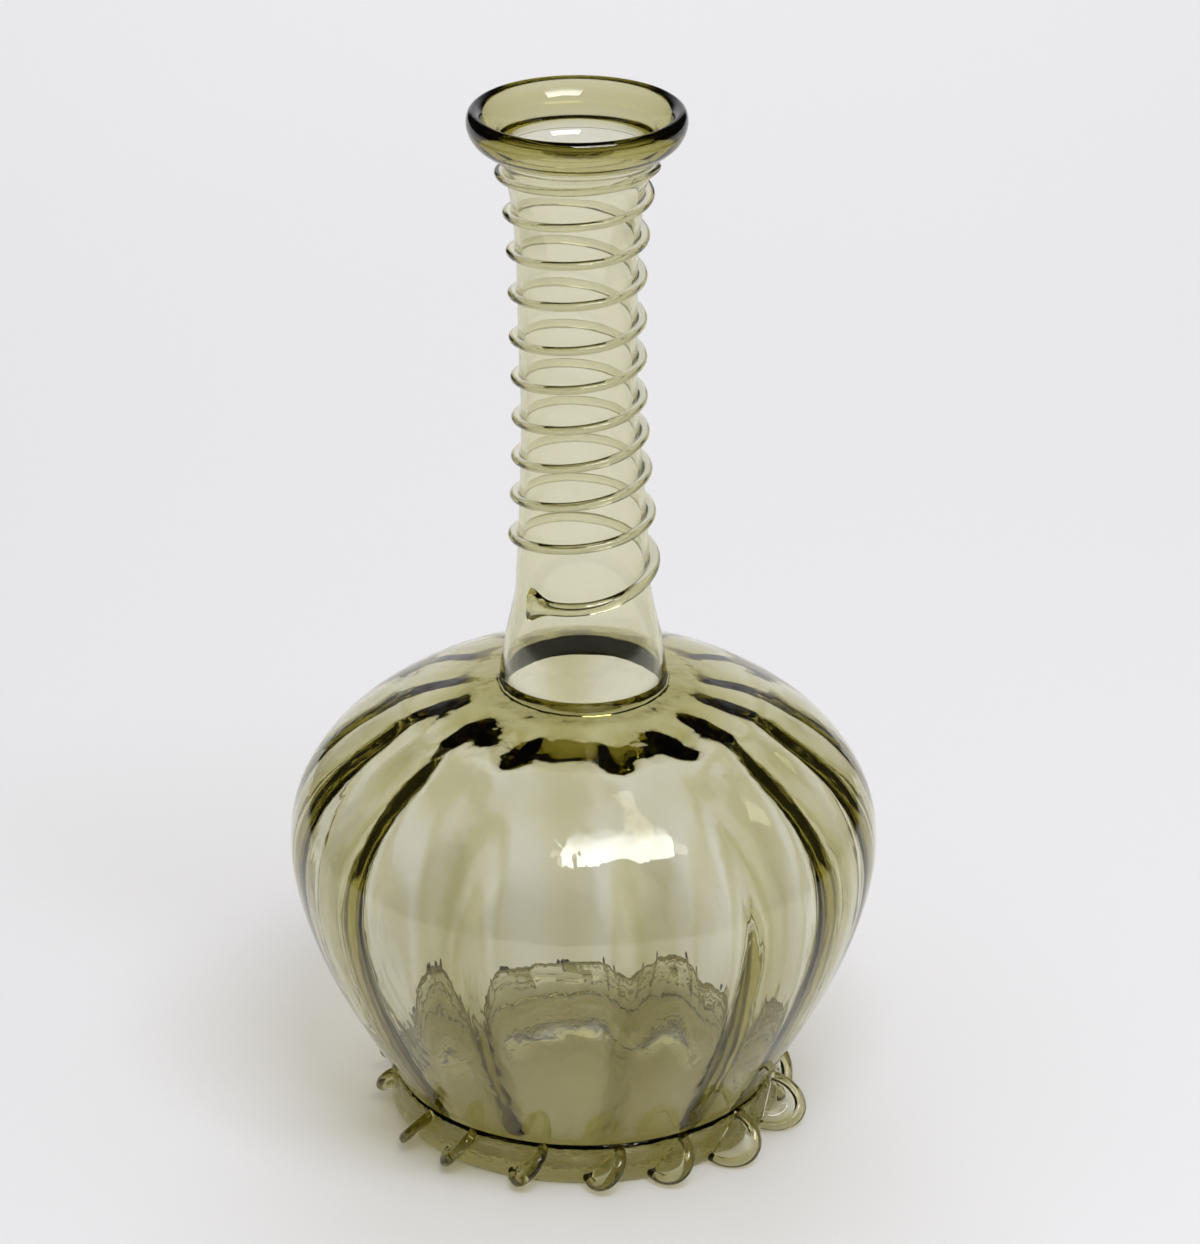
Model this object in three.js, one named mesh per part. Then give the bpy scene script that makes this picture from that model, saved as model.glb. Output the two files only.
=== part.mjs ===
// Stem vase of pale olive blown glass: a ribbed bulb, a tall neck with a wound thread,
// a thick rolled lip, and a foot trail pinched out into small lobes.
// Millimetres, +Z up. The origin is on the table under the middle of the bulb,
// and the front faces -Y.

import * as THREE from 'three'

// Heights above the table
const totalHeight = 320
const shoulderHeight = 144.6
const bellyHeight = 88
const lipHeight = 12.4

// Bulb, outside
const bellyRadius = 89.2
const throatRadius = 25.2
const bulbFootRadius = 58.6
const baseEdgeRadius = 51
const baseLift = 1.2
const baseEdgeWidth = 4
const heelRounding = 2.2
const puntHeight = 14

// Bulb, wall and moulded ribs
const bulbWall = 1.9
const baseExtraWall = 1
const ribCount = 15
const ribDepth = 3.4
const ribWidth = 14
const shoulderRingRadius = 48
const shoulderRingDepth = 3.6
const shoulderRingHalfWidth = 6

// Neck
const neckWall = 1.7
const neckAnkleRadius = 20.4
const neckWaistRadius = 17.3
const neckCollarRadius = 18.9
const neckTopRadius = 23.6
const neckBellHeight = 26
const neckCollarDrop = 16
const neckFlareDrop = 36
const neckFlareSwell = 0.5
const neckLean = 1.6

// Lip roll
const lipRadius = 32
const mouthRadius = 28

// Thread wound round the neck
const threadTurns = 10.375
const threadStartDegrees = -45
const threadStartRise = 27.2
const threadThickness = 2.2
const threadHeight = 2.5
const threadFirstTurnGain = 0.75
const threadBlobHeight = 6
const threadSteepStart = 5.8
const threadFlatEnd = 2.6
const threadEndRoom = 0.5

// Foot trail and its pinched lobes
const footRingRadius = 59.9
const footRingHeight = 13.5
const footRingBevel = 2.2
const footRingShoulder = 2.5
const frontLobeDegrees = [-83, -55, -39, -17, 6, 25, 45, 69, 87]
const backLobeCount = 9
const lobeLength = 16
const frontLobeReach = 9.2
const sideLobeReach = 5.2
const sideLobeDegrees = 78
const lobeRimThickness = 2.6
const lobeWebThickness = 1.2
const lobeSlantDegrees = 45
const lobeDroopDegrees = 14
const lobeYawDegrees = 10

// Clearances between pieces that are fused on the real vase
const seamGap = 0.3
const floorGap = 0.3

// Turns of thread over which its steep start, thick first turn and blob fade
const threadSettleTurns = 0.3
const threadThinningTurns = 0.6
const threadBlobTurns = 0.045

// Powers of the bulb's curves below and above the belly: higher is fuller
const lowerFullness = 1.68
const lowerEase = 1.07
const upperRadiusPower = 2 / 1.36
const upperRisePower = 2 / 2.23

// How finely the round pieces are divided
const neckSegments = 40
const threadStepsPerTurn = 24
const threadSides = 6
const lowerRows = 8
const upperRows = 10
const lobeArcSteps = 8

const radians = THREE.MathUtils.degToRad
const smoothstep = THREE.MathUtils.smoothstep

const neckBottom = shoulderHeight + seamGap
const neckTop = totalHeight - lipHeight
const lipBottom = neckTop + seamGap
const ribSpacing = (2 * Math.PI) / ribCount
const ribHalfAngle = Math.min(ribWidth / 2 / bellyRadius, ribSpacing / 3)

// A point at a compass angle from the front, positive towards +X
function polar(angle, radius, height, shift = 0) {
  return new THREE.Vector3(radius * Math.sin(angle) + shift, -radius * Math.cos(angle), height)
}

// The neck and all that sits on it lean a little to -X
function lean(height) {
  const share = (height - shoulderHeight) / (totalHeight - shoulderHeight)
  return -neckLean * smoothstep(share, 0.2, 0.7)
}

// One closed body from rings of points; ends close on the last rings' middles or on each other
function bodyFromRings(rings, closesOnItself) {
  const count = rings[0].length
  const points = rings.flat()
  const faces = []
  const joinRings = (a, b) => {
    for (let i = 0; i < count; i++) {
      const next = (i + 1) % count
      faces.push([a * count + i, a * count + next, b * count + next])
      faces.push([a * count + i, b * count + next, b * count + i])
    }
  }
  for (let row = 0; row + 1 < rings.length; row++) joinRings(row, row + 1)
  if (closesOnItself) {
    joinRings(rings.length - 1, 0)
  } else {
    closeWithFan(points, faces, rings[0], 0, false)
    closeWithFan(points, faces, rings[rings.length - 1], (rings.length - 1) * count, true)
  }
  return geometryFacingOut(points, faces)
}

function closeWithFan(points, faces, ring, first, reversed) {
  const middle = new THREE.Vector3()
  ring.forEach((point) => middle.add(point))
  points.push(middle.divideScalar(ring.length))
  const centre = points.length - 1
  for (let i = 0; i < ring.length; i++) {
    const a = first + i
    const b = first + (i + 1) % ring.length
    faces.push(reversed ? [a, b, centre] : [b, a, centre])
  }
}

// An indexed geometry, turned inside out where its volume comes out negative
function geometryFacingOut(points, faces) {
  let volume = 0
  for (const [a, b, c] of faces) {
    volume += points[a].dot(new THREE.Vector3().crossVectors(points[b], points[c]))
  }
  const index = volume < 0 ? faces.map(([a, b, c]) => [a, c, b]) : faces
  const geometry = new THREE.BufferGeometry()
  const numbers = points.flatMap((point) => point.toArray())
  geometry.setAttribute('position', new THREE.Float32BufferAttribute(numbers, 3))
  geometry.setIndex(index.flat())
  geometry.computeVertexNormals()
  return geometry
}

// Rings of a body of revolution from its outline of [radius, height]
function revolve(outline, angles, shiftAt = () => 0) {
  return outline.map(([radius, height]) => {
    return angles.map((angle) => polar(angle, radius, height, shiftAt(height)))
  })
}

function evenAngles(count) {
  return Array.from({ length: count }, (_, i) => (2 * Math.PI * i) / count)
}

// Compass angles of the bulb: each rib's crest, its two flanks and the panel beside it
function ribAngles() {
  const steps = [-ribHalfAngle, 0, ribHalfAngle, ribSpacing / 2]
  const angles = []
  for (let rib = 0; rib < ribCount; rib++) {
    steps.forEach((step) => angles.push(rib * ribSpacing + step))
  }
  return angles
}

// Outer outline of the bulb, from the foot trail up to the throat
function bulbOutline() {
  const outline = []
  for (let row = 0; row < lowerRows; row++) {
    const height = footRingHeight + ((bellyHeight - footRingHeight) * row) / lowerRows
    const drop = (bellyHeight - height) / (bellyHeight - footRingHeight)
    const swell = Math.pow(Math.max(0, 1 - Math.pow(drop, lowerFullness)), lowerEase)
    outline.push([bulbFootRadius + (bellyRadius - bulbFootRadius) * swell, height])
  }
  for (let row = 0; row <= upperRows; row++) {
    const turn = (Math.PI / 2) * (row / upperRows)
    const inward = row === upperRows ? 0 : Math.pow(Math.cos(turn), upperRadiusPower)
    const radius = throatRadius + (bellyRadius - throatRadius) * inward
    const rise = Math.pow(Math.sin(turn), upperRisePower)
    outline.push([radius, bellyHeight + (shoulderHeight - bellyHeight) * rise])
  }
  return outline
}

// Straight run of the bulb's wall inside the foot trail, as [radius, height]
function bulbHeel() {
  const low = [baseEdgeRadius + heelRounding, baseLift + heelRounding]
  return [low, [bulbFootRadius, footRingHeight]]
}

// Underside of the bulb: a kicked-up punt that comes down to a rounded base edge
function puntOutline(raise) {
  const flat = baseEdgeRadius - baseEdgeWidth
  return [0.35, 0.7, 1].map((share) => {
    const height = baseLift + (puntHeight - baseLift) * Math.pow(Math.cos(share * Math.PI / 2), 2)
    return [flat * share, height + raise]
  })
}

// How much thicker the wall is at a rib, and at the ring under the shoulder
function ribSwell(angle) {
  const offset = Math.abs(angle - ribSpacing * Math.round(angle / ribSpacing))
  return Math.max(0, 1 - offset / ribHalfAngle) * ribDepth
}

function wallAt(angle, radius, height) {
  if (height < bellyHeight) return bulbWall + ribSwell(angle)
  const fromRing = (radius - shoulderRingRadius) / shoulderRingHalfWidth
  const ring = shoulderRingDepth * Math.max(0, 1 - fromRing * fromRing)
  const rib = radius > shoulderRingRadius ? ribSwell(angle) : 0
  return bulbWall + Math.max(ring, rib)
}

// Inner surface: every outline point goes in along its own normal by the wall there
function innerRing(outline, row, angles) {
  const [radius, height] = outline[row]
  const before = outline[Math.max(0, row - 1)]
  const after = outline[Math.min(outline.length - 1, row + 1)]
  const along = new THREE.Vector2(after[0] - before[0], after[1] - before[1]).normalize()
  return angles.map((angle) => {
    const wall = wallAt(angle, radius, height)
    return polar(angle, radius - along.y * wall, height + along.x * wall)
  })
}

function makeBulb() {
  const angles = ribAngles()
  const outline = bulbOutline()
  const edge = [baseEdgeRadius, baseLift + heelRounding / 4]
  const outside = [...puntOutline(0), edge, bulbHeel()[0], ...outline]
  const inside = outline.slice(0, -1).map((_, row) => innerRing(outline, row, angles))
  const throat = [
    [throatRadius - bulbWall, shoulderHeight],
    [throatRadius - bulbWall, shoulderHeight - bulbWall],
  ]
  const floor = puntOutline(bulbWall + baseExtraWall).reverse()
  const rings = [
    ...revolve(outside, angles),
    ...revolve(throat, angles),
    ...inside.reverse(),
    ...revolve(floor, angles),
  ]
  return bodyFromRings(rings, false)
}

// Outer outline of the neck: bell foot, slim waist, collar and the flare under the lip
function neckOutline() {
  const span = neckTop - neckBottom
  const bellInset = 0.42 * (throatRadius - neckAnkleRadius)
  const shape = new THREE.SplineCurve([
    new THREE.Vector2(throatRadius, neckBottom),
    new THREE.Vector2(throatRadius - bellInset, neckBottom + 0.46 * neckBellHeight),
    new THREE.Vector2(neckAnkleRadius, neckBottom + neckBellHeight),
    new THREE.Vector2((neckAnkleRadius + neckWaistRadius) / 2, neckBottom + 0.38 * span),
    new THREE.Vector2(neckWaistRadius, neckBottom + 0.55 * span),
    new THREE.Vector2(neckWaistRadius + neckFlareSwell, neckTop - neckFlareDrop),
    new THREE.Vector2(neckCollarRadius, neckTop - neckCollarDrop),
    new THREE.Vector2(neckTopRadius, neckTop),
  ])
  return shape.getPoints(14).map((point) => [point.x, point.y])
}

const neckRows = neckOutline()

function neckRadiusAt(height) {
  for (let row = 0; row + 1 < neckRows.length; row++) {
    const [lowRadius, low] = neckRows[row]
    const [highRadius, high] = neckRows[row + 1]
    if (height <= high || row + 2 === neckRows.length) {
      const share = THREE.MathUtils.clamp((height - low) / (high - low), 0, 1)
      return lowRadius + (highRadius - lowRadius) * share
    }
  }
}

function makeNeck() {
  const inside = neckRows.map(([radius, height]) => [radius - neckWall, height]).reverse()
  const rings = revolve([...neckRows, ...inside], evenAngles(neckSegments), lean)
  return bodyFromRings(rings, true)
}

// Thick rolled rim: a bulging ring whose inner face carries the funnel of the mouth
function makeLipRoll() {
  const innerBottom = neckTopRadius - neckWall
  const flare = lipRadius - neckTopRadius
  const rise = totalHeight - lipBottom
  const roll = lipRadius - mouthRadius
  const outline = [
    [innerBottom, lipBottom],
    [neckTopRadius, lipBottom],
    [neckTopRadius + 0.45 * flare, lipBottom + 0.12 * rise],
    [neckTopRadius + 0.8 * flare, lipBottom + 0.36 * rise],
    [lipRadius, lipBottom + 0.7 * rise],
    [lipRadius - 0.15 * roll, lipBottom + 0.88 * rise],
    [lipRadius - 0.5 * roll, totalHeight],
    [mouthRadius + 0.1 * roll, lipBottom + 0.95 * rise],
    [mouthRadius - 0.15 * roll, lipBottom + 0.72 * rise],
    [(mouthRadius + innerBottom) / 2, lipBottom + 0.3 * rise],
  ]
  return bodyFromRings(revolve(outline, evenAngles(neckSegments), lean), true)
}

// Height of the thread's middle after some turns: steep at first, slack under the lip
function threadHeightAt(turns) {
  const start = neckBottom + threadStartRise
  const end = neckTop - seamGap - threadHeight / 2 - threadEndRoom
  const pitch = (end - start - threadSteepStart + threadFlatEnd) / threadTurns
  const steep = threadSteepStart * (1 - Math.exp(-turns / threadSettleTurns))
  const flat = threadFlatEnd * Math.exp(-(threadTurns - turns) / threadSettleTurns)
  return start + steep + pitch * turns - flat
}

// One section of the thread, flat towards the neck and following its slope
function threadRing(turns) {
  const angle = radians(threadStartDegrees) + turns * 2 * Math.PI
  const gain = 1 + threadFirstTurnGain * Math.exp(-turns / threadThinningTurns)
  const blob = threadBlobHeight * Math.exp(-Math.pow(turns / threadBlobTurns, 2))
  const halfHeight = (threadHeight * gain + blob) / 2
  const halfThickness = (threadThickness * gain) / 2
  const chord = Math.cos(Math.PI / threadStepsPerTurn)
  const flatSide = Math.cos(Math.PI / threadSides)
  const ring = []
  for (let side = 0; side < threadSides; side++) {
    const around = (2 * Math.PI * (side + 0.5)) / threadSides
    const height = threadHeightAt(turns) + halfHeight * Math.sin(around)
    const stand = seamGap + halfThickness * (flatSide + Math.cos(around))
    const radius = (neckRadiusAt(height) + stand) / chord
    ring.push(polar(angle, radius, height, lean(height)))
  }
  return ring
}

// Least distance between points of the thread that lie half a turn or more apart
function leastGap(rings) {
  const apart = threadStepsPerTurn / 2
  let least = Infinity
  for (let i = 0; i < rings.length; i++) {
    for (let j = i + apart; j < rings.length; j++) {
      for (const a of rings[i]) {
        for (const b of rings[j]) least = Math.min(least, a.distanceTo(b))
      }
    }
  }
  return least
}

function makeNeckThread() {
  const steps = Math.round(threadTurns * threadStepsPerTurn)
  const rings = []
  for (let step = 0; step <= steps; step++) rings.push(threadRing((threadTurns * step) / steps))
  console.log(`neck_thread least gap to itself: ${leastGap(rings).toFixed(2)} mm`)
  return bodyFromRings(rings, false)
}

// Foot trail: a flat-bottomed band laid round the heel of the bulb
function makeFootRing() {
  const [low, high] = bulbHeel()
  const slope = (high[0] - low[0]) / (high[1] - low[1])
  const clear = seamGap * Math.hypot(1, slope)
  const innerAt = (height) => high[0] + clear - slope * (high[1] - height)
  const topWidth = footRingRadius - innerAt(footRingHeight)
  const outline = [
    [innerAt(0), 0],
    [footRingRadius - footRingBevel, 0],
    [footRingRadius - 0.4 * footRingBevel, 0.4 * footRingBevel],
    [footRingRadius, 1.4 * footRingBevel],
    [footRingRadius, footRingHeight - footRingShoulder],
    [innerAt(footRingHeight) + 0.6 * topWidth, footRingHeight - 0.12 * footRingShoulder],
    [innerAt(footRingHeight), footRingHeight],
  ]
  return bodyFromRings(revolve(outline, ribAngles()), true)
}

// Compass degrees of the lobes: as pinched along the front, then evenly round the back
function lobeDegrees() {
  const last = frontLobeDegrees[frontLobeDegrees.length - 1]
  const spacing = (360 + frontLobeDegrees[0] - last) / (backLobeCount + 1)
  const back = Array.from({ length: backLobeCount }, (_, i) => last + (i + 1) * spacing)
  return [...frontLobeDegrees, ...back]
}

// One pinched lobe: a slanted half disc with a thick round rim and a thin web
function makeLobe(degrees) {
  const angle = radians(degrees)
  const lobeReach = Math.abs(degrees) < sideLobeDegrees ? frontLobeReach : sideLobeReach
  const slant = radians(lobeSlantDegrees)
  const droop = radians(lobeDroopDegrees)
  const yaw = radians(lobeYawDegrees)
  const halfRim = lobeRimThickness / 2
  const halfLength = lobeLength / 2
  const outwardSink = (lobeReach - halfRim) * Math.sin(droop)
  const slantSink = (halfLength - halfRim) * Math.sin(slant)
  const sink = Math.hypot(outwardSink, slantSink)
  const middleHeight = floorGap + halfRim + sink

  const outward = polar(angle, 1, 0)
  const sideways = polar(angle + Math.PI / 2, 1, 0)
  const upward = new THREE.Vector3(0, 0, 1)
  const along = sideways.clone().multiplyScalar(Math.cos(slant)).addScaledVector(upward, Math.sin(slant))
  const across = new THREE.Vector3().crossVectors(along, outward)
  const out = outward.clone().multiplyScalar(Math.cos(droop) * Math.cos(yaw))
  out.addScaledVector(sideways, Math.sin(yaw)).addScaledVector(upward, -Math.sin(droop))
  const seat = polar(angle, footRingRadius + seamGap, middleHeight)

  // Shares of the way from the middle of the seat to the rim, with the half thickness there
  const rows = [
    [0.55, lobeWebThickness / 2],
    [0.78, lobeWebThickness / 2],
    [0.86, halfRim * 0.85],
    [0.93, halfRim],
  ]
  const place = (share, turn, half) => seat.clone()
    .addScaledVector(out, share * lobeReach * Math.cos(turn))
    .addScaledVector(along, share * halfLength * Math.sin(turn))
    .addScaledVector(across, half)

  // Each ring of the body is one line across the lobe: up its front face and back down
  const rings = []
  for (let step = 0; step <= lobeArcSteps; step++) {
    const turn = Math.PI * (step / lobeArcSteps - 0.5)
    const face = (side) => rows.map(([share, half]) => place(share, turn, side * half))
    rings.push([...face(1), place(1, turn, 0), ...face(-1).reverse()])
  }
  return lobeBody(rings, place(0, 0, lobeWebThickness / 2), place(0, 0, -lobeWebThickness / 2))
}

// Joins the lobe's lines across, with a fan at the seat's middle on each face
function lobeBody(rings, frontMiddle, backMiddle) {
  const count = rings[0].length
  const points = [...rings.flat(), frontMiddle, backMiddle]
  const front = points.length - 2
  const back = points.length - 1
  const faces = []
  for (let line = 0; line + 1 < rings.length; line++) {
    const a = line * count
    const b = a + count
    for (let i = 0; i + 1 < count; i++) {
      faces.push([a + i, a + i + 1, b + i + 1], [a + i, b + i + 1, b + i])
    }
    faces.push([front, a, b], [b + count - 1, a + count - 1, back])
  }
  closeSeat(faces, 0, count, front, back, false)
  closeSeat(faces, (rings.length - 1) * count, count, front, back, true)
  return geometryFacingOut(points, faces)
}

// The flat seat at one end of the lobe, from its middle out to the rim
function closeSeat(faces, first, count, front, back, reversed) {
  const loop = [front, ...Array.from({ length: count }, (_, i) => first + i), back]
  const flip = (face) => faces.push(reversed ? face : [face[0], face[2], face[1]])
  for (let low = 0, high = loop.length - 1; high - low > 1; low++, high--) {
    flip([loop[low], loop[low + 1], loop[high]])
    if (high - low > 2) flip([loop[low + 1], loop[high - 1], loop[high]])
  }
}

const thinGlass = { color: 0xb4b186, roughness: 0.04, metalness: 0 }
const palestGlass = { color: 0xbdba92, roughness: 0.04, metalness: 0 }
const thickGlass = { color: 0x5d5c34, roughness: 0.05, metalness: 0 }
const footGlass = { color: 0x8d8b5c, roughness: 0.06, metalness: 0 }

const vase = new THREE.Group()

function addPiece(name, geometry, finish) {
  const piece = new THREE.Mesh(geometry, new THREE.MeshStandardMaterial(finish))
  piece.name = name
  vase.add(piece)
}

addPiece('bulb', makeBulb(), thinGlass)
addPiece('neck', makeNeck(), palestGlass)
addPiece('lip_roll', makeLipRoll(), thickGlass)
addPiece('neck_thread', makeNeckThread(), thinGlass)
addPiece('foot_ring', makeFootRing(), footGlass)
lobeDegrees().forEach((degrees, lobe) => {
  addPiece(`foot_lobe_${String(lobe + 1).padStart(2, '0')}`, makeLobe(degrees), footGlass)
})

export default vase
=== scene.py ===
import math

import bpy
import numpy as np
from bpy.props import FloatProperty, FloatVectorProperty, PointerProperty
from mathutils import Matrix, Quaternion, Vector


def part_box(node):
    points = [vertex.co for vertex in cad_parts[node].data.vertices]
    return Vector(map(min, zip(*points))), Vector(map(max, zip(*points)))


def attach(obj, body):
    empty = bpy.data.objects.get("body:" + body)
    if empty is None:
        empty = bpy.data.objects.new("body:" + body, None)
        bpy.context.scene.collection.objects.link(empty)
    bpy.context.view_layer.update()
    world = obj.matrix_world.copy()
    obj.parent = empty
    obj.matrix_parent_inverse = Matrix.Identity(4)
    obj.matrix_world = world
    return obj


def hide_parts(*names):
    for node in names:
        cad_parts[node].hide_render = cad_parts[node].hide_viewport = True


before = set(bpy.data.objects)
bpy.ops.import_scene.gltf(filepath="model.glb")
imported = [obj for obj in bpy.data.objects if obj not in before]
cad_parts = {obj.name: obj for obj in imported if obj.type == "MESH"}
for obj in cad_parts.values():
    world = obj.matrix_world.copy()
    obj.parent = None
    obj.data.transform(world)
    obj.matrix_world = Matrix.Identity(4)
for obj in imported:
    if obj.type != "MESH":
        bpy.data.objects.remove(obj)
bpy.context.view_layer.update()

bl_info = {
    "name": "Stem vase",
    "version": (1, 0, 0),
    "blender": (4, 5, 0),
    "location": "3D View > Sidebar > Vase",
    "description": "Builds a ribbed glass stem vase piece by piece, with its studio",
    "category": "Add Mesh",
}

MM = 0.001


# Sizes read from the frame

def box_mm(node):
    """A node's lowest and highest corners, in millimetres."""
    low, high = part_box(node)
    return np.array(low) / MM, np.array(high) / MM


BULB_LOW, BULB_HIGH = box_mm("bulb")
NECK_TOP = box_mm("neck")[1][2]
LIP_LOW, LIP_HIGH = box_mm("lip_roll")
BELLY_RADIUS = BULB_HIGH[1]
SHOULDER_HEIGHT = BULB_HIGH[2]
BASE_LIFT = BULB_LOW[2]
LIP_CENTRE = (LIP_LOW[0] + LIP_HIGH[0]) / 2
RING_RADIUS, RING_HEIGHT = box_mm("foot_ring")[1][1:]
LOBES = sorted(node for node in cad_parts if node.startswith("foot_lobe"))


# Shapes that the glass was worked into, in millimetres and degrees

# Clearances between pieces that are one glass on the real vase
JOIN_GAP = 0.03
TRAIL_GAP = 0.02
LOBE_GAP = 0.05

# How square the bulb's outline is: over the belly across and up, and under it at the belly and the foot
UPPER_ACROSS = 1.36
UPPER_UP = 2.23
LOWER_BELLY = 1.68
LOWER_FOOT = 1.07
# Glass thickness of the shoulder between the ribs, against the radius outside
SHOULDER_WALL = [
    (26, 7.0), (28.5, 7.1), (31, 6.7), (34, 6.3), (37, 6.55), (40, 5.5), (43, 5.15), (46, 3.75), (49, 2.95),
    (52, 2.05), (56, 1.8), (62, 2.45), (75, 1.1), (90, 1.05),
]
# How much thicker the shoulder is where it runs out in a point along a rib
SHOULDER_POINTS = [
    (36, 0), (40, 1.9), (43, 1.25), (46, 1.6), (49, 1.55), (52, 0.8), (56, -0.7), (62, -0.5), (70, 0),
]
# How far the corners of those two lines are eased, and how sharp the points are
SHOULDER_EASE = 1.7
POINT_SHARPNESS = 1.4
# The moulded ribs: compass angle from the front, and the radii where the rib starts and is full
RIBS = [
    (-176, 44, 64), (-150, 44, 64), (-124, 44, 64), (-98, 44, 64), (-79, 44, 64), (-55, 44, 64),
    (-26, 58, 84), (13, 58, 84), (39, 54, 80),
    (60, 44, 64), (80, 44, 64), (98, 44, 64), (124, 44, 64), (150, 44, 64),
]
# A rib's half width where it starts, the radii between which it widens, and its widest half angle
RIB_START_HALF = 8
RIB_WIDENS = (46, 80)
RIB_HALF_DEGREES = 12
# Share of its depth that a rib keeps at the foot
RIB_FOOT_SHARE = 0.72

# The base edge's rounding inwards, and how far out its corner steers it
BASE_ROUND = 4
BASE_CORNER = 1.2
# Radius at which the kicked-up base closes to a point
BASE_CLOSES = 2
# Glass under the floor, how far in from the base edge it starts, and how much flatter it is than the base
FLOOR_GLASS = 3.4
FLOOR_IN = 11
FLOOR_FLATTER = 1
# The floor's part of its hump, from its edge to its middle, and the soft corner between it and the wall
FLOOR_EDGE_SHARE = 0.8
FLOOR_MIDDLE_SHARE = 0.04
CORNER_IN = 3.0
CORNER_DROP = 0.6
# The throat's bend: how far outside the throat's radius it starts, and its corner's height and its
# distance from the bore
THROAT_START = 0.8
THROAT_CORNER_HEIGHT = 136.8
THROAT_CORNER_OUT = 0.3

# Outside of the neck, as heights and radii from its bell foot to the flare under the lip
NECK_OUTLINE = [
    (144.9, 25.2), (150.5, 24.3), (157, 23.2), (163.6, 21.7), (170, 20.5), (180, 19.8), (190, 19.3),
    (202.6, 18.6), (215, 17.9), (228, 17.4), (253, 17.5), (278, 18.0), (290.5, 19.0), (297, 19.9),
    (302.3, 21.2), (306.8, 23.04), (307.6, 23.7),
]
# The neck's wall grows by this much between these heights
MOUTH_EXTRA = 0.7
MOUTH_GROWS = (301, 306.5)
# The part of the neck's height over which it moves aside
LEAN_SPAN = (0.2, 0.7)
# Section of the rolled lip as radii and heights: up the outside, over the crest, down the trumpet
LIP_SECTION = [
    (25.7, 309.2), (28.2, 310.7), (30.4, 312.8), (31.7, 315.4), (32.1, 318.0), (31.5, 320.3), (30.2, 321.4),
    (28.9, 321.0), (27.3, 319.8), (25.1, 317.4), (23.2, 314.1), (22.0, 310.7),
]
# How far down the neck the lip's curve takes its direction from
LIP_STEER = 0.9

# Heights of the thread's middle at the left and right of the neck, turn by turn
THREAD_LEFT = [188.7, 201.6, 213.8, 226.2, 238.9, 251.4, 265.2, 278.2, 289.9, 302.1]
THREAD_RIGHT = [180.9, 196.1, 210.0, 221.8, 232.9, 245.2, 257.1, 270.5, 282.8, 295.4]
THREAD_START_DEGREES = -45
THREAD_START_HEIGHT = 172.6
THREAD_FRONT_HEIGHT = 173.6
THREAD_END_HEIGHT = 305.8
# Share of the thread's height that has melted onto the neck
THREAD_CONTACT = 0.42
# The thread is thicker at its start, over this many turns, and flares into a blob over fewer
START_GAIN = 0.6
START_TURNS = 0.5
BLOB_HEIGHT = 6.0
BLOB_TURNS = 0.03
# It thins over this many turns to these shares of its height and depth at its end
END_TURNS = 0.05
END_HEIGHT_SHARE = 0.25
END_DEPTH_SHARE = 0.3

# Rounding of the foot trail: at its toe, and from its side up to the bulb
TRAIL_TOE_IN = 3
TRAIL_TOE_UP = 3.2
TRAIL_BROW_DOWN = 4
TRAIL_BROW_CORNER = 0.6
# How far outside the seat's last point the trail's inner edge stands on the table
TRAIL_HEEL = 0.3
# The pinched lobes: the height of their seat, and their reach and length
LOBE_SEAT_HEIGHT = 7.9
LOBE_REACH = 9.2
LOBE_LENGTH = 16.4
# What the front right ones have more, and the compass angles over which they grow
LOBE_REACH_MORE = 3.2
LOBE_LENGTH_MORE = 2.4
LOBE_GROWS = (12, 45)
# From this compass angle on to the back they are short
SHORT_LOBE_DEGREES = 76
SHORT_LOBE_REACH = 5.2
# A lobe's slant from level, and how far it droops and turns aside, in degrees
LOBE_SLANT = 45
LOBE_DROOP = 14
LOBE_YAW = 10
# Thickness of its rim and of its web, and half of its thickness in the middle of its seat
LOBE_RIM = 3.4
LOBE_WEB = 0.8
LOBE_HUB = 0.6
# Shares of its reach at which its section has points, closest together in the rim
LOBE_STEPS = np.array([0.3, 0.5, 0.66, 0.75, 0.8, 0.85, 0.9, 0.95, 0.985, 1.0])


# The studio, in millimetres and degrees

# The photograph's frame, and the lens that was worked out from it
FRAME_HIGH = 1244
FOCAL_PIXELS = 5377
SENSOR_MM = 36
# The table's half width, and its front and far edges
TABLE_SIDE = 480
TABLE_FRONT = -900
TABLE_BACK = 1400
# The lamps' sizes, and their places: compass angle from the front, height angle, distance and roll
LAMP_AIM_HEIGHT = 100
KEY_WIDTH = 890
KEY_HEIGHT = 620
KEY_PLACE = (27, 64.9, 1600, -13)
# The key lamp glows fully under the second of these shares of its height from the middle
KEY_FADE = (0.45, -0.3)
BACK_SIDE = 1500
BACK_PLACE = (180, 38, 2060, 0)
# Parts of a unit direction past which the room is dark to rays through the glass and off it. Each pair
# says where the dark starts and where it is full: above, towards the front, and to either side
DARK_UP = (0.30, 0.62)
DARK_FRONT = (0.62, 0.30)
DARK_SIDE = (0.28, 0.46)
# Between these two fades, a little below the horizon, such rays see paper all round
PAPER_FROM = (-0.46, -0.38)
PAPER_TO = (-0.10, -0.18)


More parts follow.
